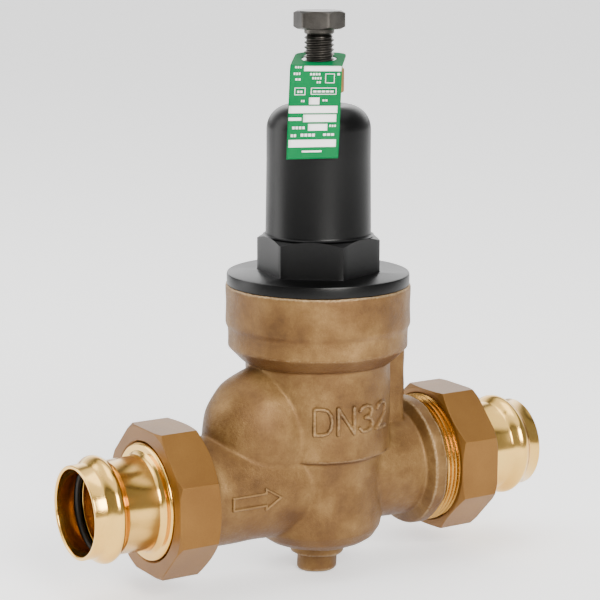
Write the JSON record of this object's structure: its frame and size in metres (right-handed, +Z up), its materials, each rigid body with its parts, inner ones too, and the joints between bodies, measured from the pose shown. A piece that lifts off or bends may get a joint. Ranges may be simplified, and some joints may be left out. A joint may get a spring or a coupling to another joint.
{
  "type": "pressure reducing valve",
  "caption": "Spring-loaded diaphragm pressure reducing valve with a moulded spring cage, an adjusting bolt and union press-fit tube ends.",
  "frame": {"origin": "where the pipe run's centreline meets the valve's upright axis", "axes": "+Z up the upright axis towards the adjusting bolt's head, +X along the pipe run from inlet to outlet, -Y towards the face with the size mark"},
  "size_m": [0.2187, 0.0772, 0.2365],
  "materials": {
    "cast_bronze": "rough sand-cast bronze, matt and grainy, with machined rims",
    "union_nut_brass": "satin, forged and lightly tumbled",
    "press_end_brass": "polished",
    "machined_brass": "turned, satin",
    "lock_nut_brass": "brown, lightly tarnished",
    "bolt_steel": "zinc plated, dull grey",
    "spring_steel": "plain spring steel",
    "screen_steel": "stainless, satin",
    "cage_plastic": "glass-filled nylon, black, satin",
    "moulded_grey": "moulded acetal, natural grey",
    "black_rubber": "smooth moulded rubber",
    "tag_green": "printed green sheet, satin"
  },
  "bodies": {
    "valve_body": {"body": "cast_bronze", "seat_module": "moulded_grey", "seat_module_snap_ring": "spring_steel", "seat_o_ring_upper": "black_rubber", "seat_o_ring_lower": "black_rubber", "stem_o_ring": "black_rubber", "strainer_screen": "screen_steel", "diaphragm": "black_rubber", "slip_ring": "screen_steel", "adjusting_spring": "spring_steel", "spring_cage": "cage_plastic", "cage_insert": "machined_brass"},
    "valve_plug": {"valve_stem": "machined_brass", "seat_disc": "black_rubber", "disc_holder": "machined_brass", "disc_screw": "screen_steel", "diaphragm_washer": "machined_brass", "spring_disc": "spring_steel", "diaphragm_nut": "machined_brass"},
    "spring_button": {"spring_button": "spring_steel"},
    "adjusting_bolt": {"adjusting_bolt": "bolt_steel"},
    "lock_nut": {"lock_nut": "lock_nut_brass"},
    "setting_tag": {"setting_tag": "tag_green"},
    "inlet_tail": {"inlet_tailpiece": "press_end_brass", "inlet_union_gasket": "black_rubber", "inlet_press_o_ring": "black_rubber"},
    "inlet_nut": {"inlet_union_nut": "union_nut_brass"},
    "outlet_tail": {"outlet_tailpiece": "press_end_brass", "outlet_union_gasket": "black_rubber", "outlet_press_o_ring": "black_rubber"},
    "outlet_nut": {"outlet_union_nut": "union_nut_brass"}
  },
  "joints": [
    {"name": "plug_travel", "type": "slide", "parent": "valve_body", "child": "valve_plug", "axis": [0, 0, 1], "range_m": [0, 0.0039], "stiffness_N_per_m": 2000, "springref_m": -0.03, "deforming": ["diaphragm"]},
    {"name": "button_travel", "type": "slide", "parent": "valve_body", "child": "spring_button", "axis": [0, 0, 1], "range_m": [-0.00977, 0.00586], "deforming": ["adjusting_spring"]},
    {"name": "bolt_turn", "type": "hinge", "parent": "spring_button", "child": "adjusting_bolt", "pos_m": [0, 0, 0.16], "axis": [0, 0, 1], "range_deg": [-1800, 1080]},
    {"name": "lock_nut_turn", "type": "hinge", "parent": "valve_body", "child": "lock_nut", "pos_m": [0, 0, 0.167], "axis": [0, 0, 1], "range_deg": [0, 90]},
    {"name": "tag_swivel", "type": "hinge", "parent": "valve_body", "child": "setting_tag", "pos_m": [0, 0, 0.1735], "axis": [0, 0, 1], "continuous": true},
    {"name": "inlet_tail_slide", "type": "slide", "parent": "valve_body", "child": "inlet_tail", "axis": [-1, 0, 0], "range_m": [0, 0.01]},
    {"name": "inlet_nut_turn", "type": "hinge", "parent": "inlet_tail", "child": "inlet_nut", "pos_m": [-0.064, 0, 0], "axis": [-1, 0, 0], "range_deg": [0, 1800]},
    {"name": "outlet_tail_slide", "type": "slide", "parent": "valve_body", "child": "outlet_tail", "axis": [1, 0, 0], "range_m": [0, 0.01]},
    {"name": "outlet_nut_turn", "type": "hinge", "parent": "outlet_tail", "child": "outlet_nut", "pos_m": [0.064, 0, 0], "axis": [1, 0, 0], "range_deg": [0, 1800]}
  ],
  "couplings": [
    {"joint": "bolt_turn", "follows": "button_travel", "rad_per_m": 3215.8},
    {"joint": "inlet_nut_turn", "follows": "inlet_tail_slide", "rad_per_m": 3141.6},
    {"joint": "outlet_nut_turn", "follows": "outlet_tail_slide", "rad_per_m": 3141.6}
  ]
}
